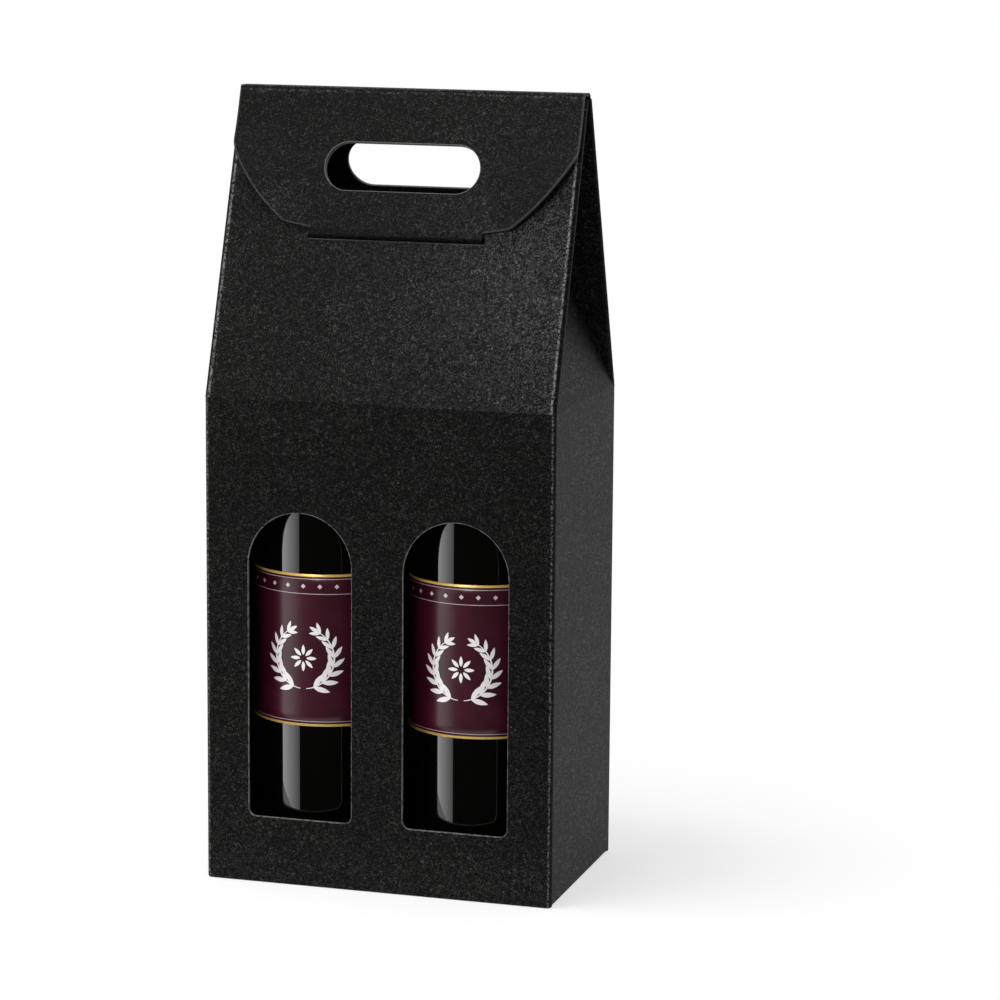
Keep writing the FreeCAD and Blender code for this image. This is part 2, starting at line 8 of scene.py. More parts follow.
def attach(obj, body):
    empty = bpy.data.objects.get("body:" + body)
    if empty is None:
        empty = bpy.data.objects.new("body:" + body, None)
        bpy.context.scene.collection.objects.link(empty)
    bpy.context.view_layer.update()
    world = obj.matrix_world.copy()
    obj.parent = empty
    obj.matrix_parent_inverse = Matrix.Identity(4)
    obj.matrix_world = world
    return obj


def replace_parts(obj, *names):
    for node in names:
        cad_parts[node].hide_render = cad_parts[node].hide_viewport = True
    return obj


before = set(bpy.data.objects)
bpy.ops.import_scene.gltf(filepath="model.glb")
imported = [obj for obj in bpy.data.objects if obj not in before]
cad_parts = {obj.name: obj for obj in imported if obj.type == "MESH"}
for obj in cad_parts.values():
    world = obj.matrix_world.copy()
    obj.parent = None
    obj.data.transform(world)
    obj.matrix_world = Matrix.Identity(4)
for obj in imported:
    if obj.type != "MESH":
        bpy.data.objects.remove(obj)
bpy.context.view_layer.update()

# Two-bottle gable carrier of black embossed board. Metres, on the frame of the solids: the origin is the
# centre of the base, +Z is up and the windows face -Y.
MM = 0.001

# Carton
BODY_WIDTH = 180 * MM
BODY_DEPTH = 110 * MM
SHOULDER = 244.5 * MM
RIDGE_HEIGHT = 395 * MM
RIDGE_WIDTH = 8 * MM
BOARD = 1.5 * MM
FLOOR_HEIGHT = 2 * BOARD
SLOPE_ANGLE = atan((BODY_DEPTH - RIDGE_WIDTH) / 2 / (RIDGE_HEIGHT - SHOULDER))
FLAP_GAP = 0.3 * MM
HINGE_FRONT = RIDGE_WIDTH / 2 + (FLAP_GAP + BOARD / 2) / cos(SLOPE_ANGLE) + BOARD / 2 * tan(SLOPE_ANGLE)
HINGE_HEIGHT = RIDGE_HEIGHT - BOARD / 2
WINDOW_WIDTH = 54 * MM
WINDOW_HEIGHT = 155 * MM
WINDOW_SILL = 34 * MM
WINDOW_SPACING = 80.6 * MM
WINDOW_CORNER = 4 * MM
HANDLE_WIDTH = 80 * MM
HANDLE_HEIGHT = 24.5 * MM
HANDLE_DROP = 39.3 * MM
SLIT_FOOT = 75.95 * MM
SLIT_HALF = 45.5 * MM
TAB_NECK = 70.6 * MM
TAB_HALF = 44.5 * MM
FLAP_WIDTH = 178 * MM
FLAP_SIDE_DROP = 30 * MM
FLAP_FOOT_WIDTH = 116.6 * MM
FLAP_FOOT_DROP = 68.3 * MM
FLAP_CURVE = 100 * MM
CURVE_WIDE = (FLAP_WIDTH - FLAP_FOOT_WIDTH) / 2
CURVE_TALL = FLAP_FOOT_DROP - FLAP_SIDE_DROP
CURVE_CHORD = sqrt(CURVE_WIDE ** 2 + CURVE_TALL ** 2)
CURVE_SET = sqrt(FLAP_CURVE ** 2 - (CURVE_CHORD / 2) ** 2) / CURVE_CHORD
CURVE_ACROSS = (FLAP_WIDTH + FLAP_FOOT_WIDTH) / 4 - CURVE_SET * CURVE_TALL
CURVE_DOWN = (FLAP_SIDE_DROP + FLAP_FOOT_DROP) / 2 - CURVE_SET * CURVE_WIDE
CREASE_DROP = 1.6 * MM
CORNER_LIFT = 4 * MM
LIFT_START = 0.2 * FLAP_FOOT_DROP
LIFT_END = 0.8 * FLAP_FOOT_DROP
LIFT_SUBDIVISION = 2

# Finish of the embossed board. The shine is the coat on its raised fibres.
BOARD_SHEEN = 0.06
FIBRE_ROUGHNESS = 0.3
FIBRE_SHINE = 0.5
SIDE_SHINE = 0.28 * FIBRE_SHINE
FLAP_SHINE = 0.75 * FIBRE_SHINE
FLECK_ROUGHNESS = (0.54, 0.38)
SHINING_HEIGHT = (0.44, 0.70)
SIDE_FACING = (0.3, 0.7)
FIBRE_SIZE = 1.35 * MM
FIBRE_STRETCH = (1.0, 0.5, 1.0)
HAIR_STRETCH = (0.25, 0.25, 1.0)
# Widths of the painted shade beside the folds of the walls and of the slopes
WALL_SHADE_BAND = (1.0 * MM, 3.6 * MM)
SLOPE_SHADE_BAND = 1.5 * MM
WALL_FOLD_INSET = 1.3 * MM
SLOPE_FOLD_INSET = 2.3 * MM
FOLD_WEAR = 0.42
SOFT_WEAR = 0.14
CREASE_WEAR = 0.16
RIM_WEAR = 0.07
RIM_ON_CURVE = 0.8 * MM
RIM_ON_STRAIGHT = 0.7 * MM
SLIT_LINE = 0.5 * MM
HANDLE_LINE = 0.3 * MM
WINDOW_LINE = 0.24 * MM

# Noise, in waves per metre, and the values at which one is read as low and as high
CLOUDS = 24.0
DABS = 620.0
HAIRS = 900.0
TEARS = 500.0
GLASS_WAVES = 22.0
PAPER_FIBRES = 2600.0
PAPER_TONES = 60.0
DRAWN_LINES = 900.0
NARROW_SPAN = (0.35, 0.65)
WIDE_SPAN = (0.3, 0.7)

# Colours, in linear light
BLACK = (0.0028, 0.0027, 0.0025)
FLECK = (0.066, 0.065, 0.061)
# Painted shade of the rounded folds and of the tab's neck
FOLD_SHADE = (0.0016, 0.0016, 0.0015)
WORN = (0.30, 0.295, 0.285)
CORE = (0.150, 0.147, 0.142)
GLASS_GREEN = (0.0006, 0.0009, 0.0006)
GLASS_BROWN = (0.0018, 0.0014, 0.0012)
BURGUNDY = (0.036, 0.0024, 0.0095)
PALE_BURGUNDY = (0.046, 0.0036, 0.0135)
PRINTED_WHITE = (0.50, 0.44, 0.46)
PRINTED_GOLD = (0.74, 0.45, 0.10)
PALE_PRINTED_GOLD = (0.88, 0.60, 0.17)
FULL_INK = (0.76, 0.74, 0.74)
THIN_INK = (0.60, 0.57, 0.58)
FOIL_GOLD = (0.50, 0.32, 0.09)
PALE_FOIL_GOLD = (0.64, 0.44, 0.15)

# Bottles, measured up from the board they stand on
BOTTLE_SPACING = 82 * MM
BOTTLE_Y = 45 * MM - BODY_DEPTH / 2
BOTTLE_RADIUS = 37.5 * MM
BOTTLE_HEIGHT = 305 * MM
HEEL_RADIUS = 5 * MM
PUNT_RADIUS = 27 * MM
PUNT_HEIGHT = 18 * MM
SIDE_HEIGHT = 190 * MM
SHOULDER_RADIUS = 34 * MM
SHOULDER_TURN = radians(50)
NECK_RADIUS = 15.2 * MM
LIP_RADIUS = 16 * MM
LIP_HEIGHT = 17 * MM
LIP_EDGE = 2 * MM
TURNS = 128
CRISP_EDGE = radians(35)
SAME_POINT = 0.001 * MM

# Capsule over the neck and lip
CAPSULE_LENGTH = 61 * MM
FOIL = 0.3 * MM
FOIL_GAP = 0.1 * MM
TEAR_BAND = 6 * MM

# Label and its print, on the flat label from the middle of its foot. Angles are in radians.
LABEL_RADIUS = BOTTLE_RADIUS + 0.05 * MM
LABEL_PAPER = 0.25 * MM
LABEL_RISE = 77.3 * MM
LABEL_HEIGHT = 77 * MM
LABEL_WRAP = radians(130)
INK = 0.02 * MM
INK_THICKNESS = 0.8 * INK
WREATH_CENTRE = 34.5 * MM
WREATH_RADIUS = 15.5 * MM
BRANCH_START = 0.10
BRANCH_END = 2.62
BRANCH_WIDTH = 0.9 * MM
BRANCH_STEPS = 28
BRANCH_TIP = 0.35
LEAF_LENGTH = 8.6 * MM
LEAF_WIDTH = 3.0 * MM
LEAF_PAIRS = 8
LEAF_STEPS = 8
LEAF_FULLNESS = 0.8
LEAF_TAPER = 0.25
LEAF_SHRINK = 0.045
LEAF_SPLAY = 0.62
FIRST_LEAF = 0.34
LEAF_SPREAD = 2.2
TIP_LEAF_LENGTH = 0.6 * LEAF_LENGTH
TIP_LEAF_WIDTH = 0.7 * LEAF_WIDTH
PETALS = 8
PETAL_LENGTH = 5.2 * MM
PETAL_WIDTH = 2.1 * MM
PETAL_FOOT = 1.6 * MM

# View of the photograph
CAMERA_PLACE = (0.534009, -1.608129, 0.492260)
CAMERA_YAW = -0.27711
CAMERA_PITCH = 0.15938
CAMERA_ROLL = 0.01062
LENS = 123.145
SENSOR = 36
CAMERA_SHIFT = (-0.06, -0.06)
CAMERA_CLIP = (0.05, 20)

# Floor and studio
FLOOR_FRONT = -0.13
FLOOR_BACK = 2.2
FLOOR_SIDE = 2.0
FLOOR_COLOUR = 0.82
FLOOR_WHITE = 0.62
FLOOR_FADE = (0.02, 0.07)
SHADOW_REACH = (0.12, 0.34)
FRONT_AMBIENT = 0.85
BACK_AMBIENT = 0.6
AMBIENT_TURN = (-0.8, 0.6)
DARK_FRONT = 0.01
WHITE_BACK = 1.0
MIRRORED_TURN = (-0.35, 0.25)


class Net:
    """The nodes of one material, group, world or lamp."""

    def __init__(self, tree):
        self.tree = tree

    def add(self, kind, **settings):
        node = self.tree.nodes.new(kind)
        for name, value in settings.items():
            setattr(node, name, value)
        return node

    def feed(self, socket, value):
        if isinstance(value, bpy.types.NodeSocket):
            self.tree.links.new(value, socket)
        elif value is not None:
            socket.default_value = value

    def math(self, operation, first, second=None, third=None):
        node = self.add("ShaderNodeMath", operation=operation)
        for socket, value in zip(node.inputs, (first, second, third)):
            self.feed(socket, value)
        return node.outputs[0]

    def chain(self, operation, values):
        result = values[0]
        for value in values[1:]:
            result = self.math(operation, result, value)
        return result

    def plus(self, *values):
        return self.chain("ADD", values)

    def times(self, *values):
        return self.chain("MULTIPLY", values)

    def larger(self, *values):
        return self.chain("MAXIMUM", values)

    def smaller(self, *values):
        return self.chain("MINIMUM", values)

    def minus(self, first, second):
        return self.math("SUBTRACT", first, second)

    def over(self, first, second):
        return self.math("DIVIDE", first, second)

    def absolute(self, value):
        return self.math("ABSOLUTE", value)

    def is_below(self, value, limit):
        return self.math("LESS_THAN", value, limit)

    def is_above(self, value, limit):
        return self.math("GREATER_THAN", value, limit)

    def between(self, value, low, high):
        """1 from low to high, else 0."""
        return self.times(self.is_above(value, low), self.is_below(value, high))

    def length(self, first, second):
        """Length of the flat vector with these two parts."""
        return self.vector_math("LENGTH", self.join(first, second, 0.0))

    def vector_math(self, operation, first, second=None):
        node = self.add("ShaderNodeVectorMath", operation=operation)
        self.feed(node.inputs[0], first)
        self.feed(node.inputs[1], second)
        return node.outputs["Value"] if operation in ("DOT_PRODUCT", "LENGTH") else node.outputs["Vector"]

    def split(self, vector):
        node = self.add("ShaderNodeSeparateXYZ")
        self.feed(node.inputs[0], vector)
        return node.outputs

    def join(self, x, y, z):
        node = self.add("ShaderNodeCombineXYZ")
        for socket, value in zip(node.inputs, (x, y, z)):
            self.feed(socket, value)
        return node.outputs[0]

    def noise(self, vector, scale, detail=2.0, roughness=0.5, distortion=0.0):
        node = self.add("ShaderNodeTexNoise")
        self.feed(node.inputs["Vector"], vector)
        self.feed(node.inputs["Scale"], scale)
        self.feed(node.inputs["Detail"], detail)
        self.feed(node.inputs["Roughness"], roughness)
        self.feed(node.inputs["Distortion"], distortion)
        return node.outputs["Fac"]

    def ramp(self, value, low, high, to_low=0.0, to_high=1.0, smooth=True):
        node = self.add("ShaderNodeMapRange", interpolation_type="SMOOTHSTEP" if smooth else "LINEAR")
        for name, number in (("Value", value), ("From Min", low), ("From Max", high),
                             ("To Min", to_low), ("To Max", to_high)):
            self.feed(node.inputs[name], number)
        return node.outputs["Result"]

    def mix(self, factor, first, second):
        node = self.add("ShaderNodeMix", data_type="RGBA")
        self.feed(node.inputs["Factor"], factor)
        for socket, value in ((node.inputs[6], first), (node.inputs[7], second)):
            self.feed(socket, (*value, 1.0) if isinstance(value, tuple) else value)
        return node.outputs[2]

    def bump(self, height, strength, distance):
        node = self.add("ShaderNodeBump")
        self.feed(node.inputs["Strength"], strength)
        self.feed(node.inputs["Distance"], distance)
        self.feed(node.inputs["Height"], height)
        return node.outputs["Normal"]

    def place(self):
        """Position on the object at rest, in metres."""
        return self.add("ShaderNodeTexCoord").outputs["Object"]

    def group(self, tree, **values):
        node = self.add("ShaderNodeGroup", node_tree=tree)
        for name, value in values.items():
            self.feed(node.inputs[name.replace("_", " ")], value)
        return node.outputs


def new_group(name, inputs, outputs):
    """An empty shader group with named sockets. Inputs hold their usual values."""
    tree = bpy.data.node_groups.new(name, "ShaderNodeTree")
    for title, value in inputs.items():
        kind = "NodeSocketVector" if isinstance(value, tuple) else "NodeSocketFloat"
        tree.interface.new_socket(title, in_out="INPUT", socket_type=kind).default_value = value
    for title in outputs:
        tree.interface.new_socket(title, in_out="OUTPUT", socket_type="NodeSocketFloat")
    net = Net(tree)
    return tree, net, net.add("NodeGroupInput").outputs, net.add("NodeGroupOutput").inputs


def make_board_grain():
    """Felt-like emboss of the paper: short fibres, longer from front to back, light flecks, slow clouds."""
    most_bare, range_of_share, softness = 0.62, 0.24, 0.26
    tree, net, given, out = new_group(
        "board_grain", {"Vector": (0.0, 0.0, 0.0), "Fibre size": FIBRE_SIZE, "Fleck share": 0.5},
        ("Flecks", "Height", "Clouds"))
    per_metre = net.over(1.0, given["Fibre size"])
    stretched = net.vector_math("MULTIPLY", given["Vector"], FIBRE_STRETCH)
    fibres = net.noise(stretched, per_metre, detail=4.0, roughness=0.75, distortion=1.6)
    clouds = net.noise(given["Vector"], CLOUDS, detail=3.0)
    limit = net.minus(most_bare, net.times(given["Fleck share"], range_of_share))
    flecks = net.ramp(fibres, limit, net.plus(limit, softness))
    net.feed(out["Flecks"], net.times(flecks, net.ramp(clouds, *WIDE_SPAN, 0.6, 1.0)))
    net.feed(out["Height"], fibres)
    net.feed(out["Clouds"], clouds)
    return tree


def make_line_wear():
    """Worn line along a fold: a broken bare line, and finer hairs of paper that run out from it."""
    least_cover, range_of_cover, softness, hair_strength = 0.66, 0.3, 0.2, 0.7
    tree, net, given, out = new_group(
        "line_wear", {"Vector": (0.0, 0.0, 0.0), "Distance": 1.0, "Width": 1.0 * MM, "Hair length": 3.0 * MM,
                      "Cover": 0.5}, ("Wear",))
    line = net.ramp(net.over(given["Distance"], given["Width"]), 0.35, 1.0, 1.0, 0.0)
    dabs = net.noise(given["Vector"], DABS, detail=3.0, roughness=0.7)
    limit = net.minus(least_cover, net.times(given["Cover"], range_of_cover))
    line = net.times(line, net.ramp(dabs, limit, net.plus(limit, softness)))
    reach = net.ramp(net.over(given["Distance"], given["Hair length"]), 0.0, 1.0, 1.0, 0.0)
    across = net.vector_math("MULTIPLY", given["Vector"], HAIR_STRETCH)
    hairs = net.ramp(net.noise(across, HAIRS, detail=2.0, roughness=0.7), 0.56, 0.78)
    net.feed(out["Wear"], net.larger(line, net.times(hairs, reach, hair_strength)))
    return tree


def make_cut_outline():
    """Pale line where a knife cut a rounded opening, measured from the opening's middle."""
    tree, net, given, out = new_group(
        "cut_outline", {"Across": 0.0, "Along": 0.0, "Half width": 27 * MM, "Half height": 77.5 * MM,
                        "Top radius": 27 * MM, "Foot radius": 4 * MM, "Line": 0.4 * MM}, ("Edge",))
    top = net.is_above(given["Along"], 0.0)
    radius = net.plus(net.times(given["Top radius"], top),
                      net.times(given["Foot radius"], net.minus(1.0, top)))

    def past_straight(place, half):
        straight = net.minus(given[half], radius)
        return net.minus(net.absolute(given[place]), straight)

    across, along = past_straight("Across", "Half width"), past_straight("Along", "Half height")
    corner = net.length(net.larger(across, 0.0), net.larger(along, 0.0))
    inside = net.smaller(net.larger(across, along), 0.0)
    off = net.absolute(net.minus(net.plus(corner, inside), radius))
    net.feed(out["Edge"], net.ramp(net.over(off, given["Line"]), 0.5, 1.5, 1.0, 0.0))
    return tree


def make_cut_face():
    """The board's cut thickness, told by its normal, with the fine flutes between its two liners."""
    tree, net, given, out = new_group(
        "cut_face", {"Vector": (0.0, 0.0, 0.0), "Panel normal": (0.0, -1.0, 0.0), "Flute": 1.3 * MM},
        ("Face",))
    normal = net.add("ShaderNodeNewGeometry").outputs["True Normal"]
    across = net.absolute(net.vector_math("DOT_PRODUCT", normal, given["Panel normal"]))
    turn = net.over(2 * pi, given["Flute"])
    x, _, z = net.split(given["Vector"])
    wave = net.math("SINE", net.times(net.plus(x, z), turn))
    flutes = net.math("MULTIPLY_ADD", wave, 0.2, 0.8)
    net.feed(out["Face"], net.times(net.ramp(across, 0.1, 0.3, 1.0, 0.0), flutes))
    return tree


def make_label_print():
    """Printed frame of the label, from its flat place: gold border, fine rules, a row of lozenges."""
    rule_strength = 0.75
    tree, net, given, out = new_group(
        "label_print", {"Vector": (0.0, 0.0, 0.0), "Half width": LABEL_RADIUS * LABEL_WRAP / 2,
                        "Height": LABEL_HEIGHT, "Border": 1.2 * MM, "Rule inset": 2.4 * MM,
                        "Band": 9.9 * MM, "Rule": 0.16 * MM, "Lozenge": 1.2 * MM,
                        "Lozenge pitch": 8.4 * MM}, ("Gold", "Ink"))
    across, up, _ = net.split(given["Vector"])
    side = net.minus(given["Half width"], net.absolute(across))
    top = net.minus(given["Height"], up)
    inset = net.smaller(side, up, top)
    net.feed(out["Gold"], net.is_below(inset, given["Border"]))

    def rule(distance):
        return net.is_below(net.absolute(distance), given["Rule"])

    frame_rule = rule(net.minus(inset, given["Rule inset"]))
    within = net.is_above(side, given["Rule inset"])
    band_rule = net.times(rule(net.minus(top, given["Band"])), within)
    beside = net.math("PINGPONG", across, net.times(given["Lozenge pitch"], 0.5))
    middle = net.times(net.plus(given["Rule inset"], given["Band"]), 0.5)
    away = net.absolute(net.minus(top, middle))
    lozenge = net.is_below(net.plus(beside, away), given["Lozenge"])
    rules = net.times(net.larger(frame_rule, band_rule), rule_strength)
    net.feed(out["Ink"], net.larger(rules, net.times(lozenge, within)))
    return tree


def new_material(name, **constants):
    """A material whose Principled shader has these constants set on its own sockets."""
    material = bpy.data.materials.new(name)
    material.use_nodes = True
    net = Net(material.node_tree)
    shader = material.node_tree.nodes["Principled BSDF"]
    for title, value in constants.items():
        shader.inputs[title.replace("_", " ")].default_value = value
    return material, net, shader.inputs


def slope_depth(net, y, z):
    """How far a point lies from the outer face of the nearer slope."""
    outward = net.times(net.minus(net.absolute(y), BODY_DEPTH / 2), cos(SLOPE_ANGLE))
    upward = net.times(net.minus(z, SHOULDER), sin(SLOPE_ANGLE))
    return net.absolute(net.plus(outward, upward))


def slope_drop(net, y, z):
    """How far down the nearer slope a point lies from the flap's hinge line."""
    outward = net.times(net.minus(net.absolute(y), HINGE_FRONT), sin(SLOPE_ANGLE))
    downward = net.times(net.minus(HINGE_HEIGHT, z), cos(SLOPE_ANGLE))
    return net.plus(outward, downward)


def handle_edge(net, groups, x, drop):
    """Cut edge of the handle hole, which goes through both slopes and the flap."""
    half = HANDLE_HEIGHT / 2
    return net.group(groups["cut_outline"], Across=x, Along=net.minus(HANDLE_DROP, drop),
                     Half_width=HANDLE_WIDTH / 2, Half_height=half, Top_radius=half, Foot_radius=half,
                     Line=HANDLE_LINE)["Edge"]


def window_edge(net, groups, x, z):
    """Cut edge of the two arched windows."""
    across = net.minus(net.absolute(x), WINDOW_SPACING / 2)
    along = net.minus(z, WINDOW_SILL + WINDOW_HEIGHT / 2)
    return net.group(groups["cut_outline"], Across=across, Along=along, Half_width=WINDOW_WIDTH / 2,
                     Half_height=WINDOW_HEIGHT / 2, Top_radius=WINDOW_WIDTH / 2,
                     Foot_radius=WINDOW_CORNER, Line=WINDOW_LINE)["Edge"]


def strongest(net, *masks):
    """The highest of several (mask, strength) pairs."""
    return net.larger(*[net.times(mask, strength) for mask, strength in masks])


def new_board(name):
    """A material for the embossed board, with the constants that all its faces share."""
    return new_material(name, Specular_IOR_Level=BOARD_SHEEN, Coat_Roughness=FIBRE_ROUGHNESS)


def finish_board(net, shader, grain, colour, worn, shine):
    """What all the embossed board shares: worn fibres, raised flecks that shine, the emboss itself."""
    net.feed(shader["Base Color"], net.mix(worn, colour, WORN))
    net.feed(shader["Roughness"], net.ramp(grain["Flecks"], 0.0, 1.0, *FLECK_ROUGHNESS))
    net.feed(shader["Coat Weight"], net.ramp(grain["Height"], *SHINING_HEIGHT, 0.0, shine))
    net.feed(shader["Normal"], net.bump(grain["Height"], 0.8, 0.3 * MM))


def carton_fold_shade(net, to_side, to_face, above):
    """Painted shade in dark bands beside the rounded folds of the walls and the side folds of the slopes."""
    walls = net.times(net.between(to_face, *WALL_SHADE_BAND), net.is_below(to_side, BOARD))
    slopes = net.times(net.is_below(to_side, SLOPE_SHADE_BAND), above)
    return strongest(net, (walls, 0.9), (slopes, 0.7))


def carton_cuts(net, groups, grain, place, drop, below, above):
    """Pale board at the cut edges of the windows, the handle hole and the slit."""
    x, y, z = net.split(place)
    front = net.times(net.is_below(y, BOARD - BODY_DEPTH / 2 + 0.2 * MM), below)
    torn = net.ramp(net.noise(place, TEARS), 0.35, 0.6, 0.35, 1.0)
    windows = net.times(window_edge(net, groups, x, z), front, torn)
    hole = net.times(handle_edge(net, groups, x, drop), above)
    slit = net.times(net.between(drop, SLIT_FOOT, SLIT_FOOT + SLIT_LINE),
                     net.is_below(net.absolute(x), SLIT_HALF), net.is_below(y, 0.0), above,
                     net.ramp(grain["Clouds"], *NARROW_SPAN, 0.2, 0.6))
    return strongest(net, (windows, 1.0), (hole, 0.5), (slit, 0.5))


def carton_wear(net, groups, place, to_side, to_face, depth, below, above):
    """Worn fibres along the folds of the walls, slopes and shoulder, and along the foot."""
    _, _, z = net.split(place)

    def wear(distance, width, hairs, cover):
        return net.group(groups["line_wear"], Vector=place, Distance=distance, Width=width,
                         Hair_length=hairs, Cover=cover)["Wear"]

    # A whole metre is added beyond the shoulder, so that each line ends there
    walls = net.plus(net.length(net.minus(to_side, WALL_FOLD_INSET), to_face), above)
    slopes = net.plus(net.length(net.minus(to_side, SLOPE_FOLD_INSET), depth), below)
    shoulder = net.length(to_side, net.minus(z, SHOULDER))
    return strongest(net, (wear(walls, width=0.8 * MM, hairs=1.8 * MM, cover=0.75), FOLD_WEAR),
                     (wear(slopes, width=0.9 * MM, hairs=3.5 * MM, cover=0.85), FOLD_WEAR),
                     (wear(shoulder, width=0.9 * MM, hairs=2.5 * MM, cover=0.3), SOFT_WEAR),
                     (wear(z, width=1.2 * MM, hairs=1.2 * MM, cover=0.2), SOFT_WEAR))


def carton_board(groups):
    """Black embossed board of the carton: worn along folds, painted shade beside them, pale along cuts,
    duller on the sides.
    """
    material, net, shader = new_board("black_board")
    place = net.place()
    x, y, z = net.split(place)
    grain = net.group(groups["board_grain"], Vector=place)
    to_side = net.minus(BODY_WIDTH / 2, net.absolute(x))
    to_face = net.minus(BODY_DEPTH / 2, net.absolute(y))
    below = net.is_below(z, SHOULDER)
    above = net.minus(1.0, below)
    depth, drop = slope_depth(net, y, z), slope_drop(net, y, z)
    colour = net.mix(grain["Flecks"], BLACK, FLECK)
    # Painted shade beside the folds
    colour = net.mix(carton_fold_shade(net, to_side, to_face, above), colour, FOLD_SHADE)
    colour = net.mix(carton_cuts(net, groups, grain, place, drop, below, above), colour, CORE)
    worn = carton_wear(net, groups, place, to_side, to_face, depth, below, above)
    sideways, _, _ = net.split(net.add("ShaderNodeNewGeometry").outputs["Normal"])
    shine = net.ramp(net.absolute(sideways), *SIDE_FACING, FIBRE_SHINE, SIDE_SHINE)
    finish_board(net, shader, grain, colour, worn, shine)
    return material


def flap_rim(net, x, drop):
    """Thin rubbed line just inside the flap's cut outline: two curved sides and the foot between them."""
    aside = net.absolute(x)
    from_middle = net.length(net.minus(aside, CURVE_ACROSS), net.minus(drop, CURVE_DOWN))
    curve = net.times(net.between(from_middle, FLAP_CURVE - RIM_ON_CURVE, FLAP_CURVE),
                      net.between(drop, FLAP_SIDE_DROP, FLAP_FOOT_DROP))
    side = net.times(net.is_above(aside, FLAP_WIDTH / 2 - RIM_ON_STRAIGHT),
                     net.is_below(drop, FLAP_SIDE_DROP))
    rise = (TAB_NECK - FLAP_FOOT_DROP) / (FLAP_FOOT_WIDTH / 2 - TAB_HALF)
    level = net.plus(drop, net.times(aside, rise))
    foot = net.times(net.between(aside, TAB_HALF, FLAP_FOOT_WIDTH / 2),
                     net.is_above(level, TAB_NECK + rise * TAB_HALF - RIM_ON_STRAIGHT))
    return net.larger(curve, side, foot)


def flap_board(groups):
    """The same board on the closing flap, with its cut outline, worn ridge crease and painted shade on the
    tab's neck.
    """
    material, net, shader = new_board("flap_board")
    place = net.place()
    x, y, z = net.split(place)
    grain = net.group(groups["board_grain"], Vector=place, Fleck_share=0.42)
    drop = slope_drop(net, y, z)
    shaded_neck = net.between(drop, TAB_NECK, SLIT_FOOT)
    colour = net.mix(grain["Flecks"], BLACK, FLECK)
    # Painted shade on the tab's neck, where it goes into the slit
    colour = net.mix(net.times(shaded_neck, 0.6), colour, FOLD_SHADE)
    lean = (0.0, -cos(SLOPE_ANGLE), sin(SLOPE_ANGLE))
    face = net.group(groups["cut_face"], Vector=place, Panel_normal=lean)["Face"]
    sheet = net.between(drop, 2 * BOARD, TAB_NECK + 0.5 * MM)
    cuts = strongest(net, (net.times(face, sheet), 0.3), (handle_edge(net, groups, x, drop), 0.55))
    colour = net.mix(cuts, colour, CORE)
    crease = net.absolute(net.minus(drop, CREASE_DROP))
    crease_wear = net.group(groups["line_wear"], Vector=place, Distance=crease, Width=0.8 * MM,
                            Cover=0.6)["Wear"]
    worn = strongest(net, (crease_wear, CREASE_WEAR), (flap_rim(net, x, drop), RIM_WEAR))
    finish_board(net, shader, grain, colour, worn, FLAP_SHINE)
    return material


def divider_board(groups):
    """Uncoated black board of the divider."""
    material, net, shader = new_material("divider_board", Specular_IOR_Level=0.1)
    grain = net.group(groups["board_grain"], Vector=net.place(), Fibre_size=1.6 * MM, Fleck_share=0.25)
    net.feed(shader["Base Color"], net.mix(grain["Flecks"], BLACK, FLECK))
    net.feed(shader["Roughness"], net.ramp(grain["Clouds"], *WIDE_SPAN, 0.7, 0.85))
    net.feed(shader["Normal"], net.bump(grain["Height"], 0.3, 0.2 * MM))
    return material


def bottle_glass(groups):
    """Near-black bottle glass full of wine: deep, glossy, with the faint waviness of moulded glass."""
    material, net, shader = new_material("dark_bottle_glass", IOR=1.5, Specular_IOR_Level=0.5,
                                         Coat_Weight=1.0, Coat_Roughness=0.03)
    place = net.place()
    smears = net.group(groups["board_grain"], Vector=place, Fibre_size=9 * MM, Fleck_share=0.5)
    net.feed(shader["Base Color"], net.mix(smears["Clouds"], GLASS_GREEN, GLASS_BROWN))
    net.feed(shader["Roughness"], net.ramp(smears["Flecks"], 0.0, 1.0, 0.03, 0.07))
    waves = net.noise(place, GLASS_WAVES, detail=1.0)
    net.feed(shader["Normal"], net.bump(waves, 0.03, 1.0 * MM))
    return material


def label_paper(groups):
    """Satin burgundy label with a gold foil border and fine white rules."""
    material, net, shader = new_material("burgundy_label", Specular_IOR_Level=0.15, Coat_Weight=0.6,
                                         Coat_Roughness=0.26)
    flat_place = net.add("ShaderNodeTexCoord").outputs["UV"]
    printed = net.group(groups["label_print"], Vector=flat_place)
    fibre = net.noise(flat_place, PAPER_FIBRES)
    tone = net.noise(flat_place, PAPER_TONES)
    field = net.mix(net.ramp(tone, *NARROW_SPAN), BURGUNDY, PALE_BURGUNDY)
    field = net.mix(printed["Ink"], field, PRINTED_WHITE)
    gold = net.mix(net.ramp(fibre, *NARROW_SPAN), PRINTED_GOLD, PALE_PRINTED_GOLD)
    net.feed(shader["Base Color"], net.mix(printed["Gold"], field, gold))
    net.feed(shader["Metallic"], net.times(printed["Gold"], 0.3))
    net.feed(shader["Roughness"], net.ramp(printed["Gold"], 0.0, 1.0, 0.42, 0.3))
    net.feed(shader["Normal"], net.bump(fibre, 0.12, 0.03 * MM))
    return material


def white_ink(groups):
    """Opaque white ink of the wreath, slightly thin where it was laid on."""
    material, net, shader = new_material("white_ink", Specular_IOR_Level=0.4, Coat_Weight=0.5,
                                         Coat_Roughness=0.22)
    grain = net.group(groups["board_grain"], Vector=net.place(), Fibre_size=0.9 * MM, Fleck_share=0.6)
    net.feed(shader["Base Color"], net.mix(grain["Clouds"], FULL_INK, THIN_INK))
    net.feed(shader["Roughness"], net.ramp(grain["Flecks"], 0.0, 1.0, 0.4, 0.5))
    return material


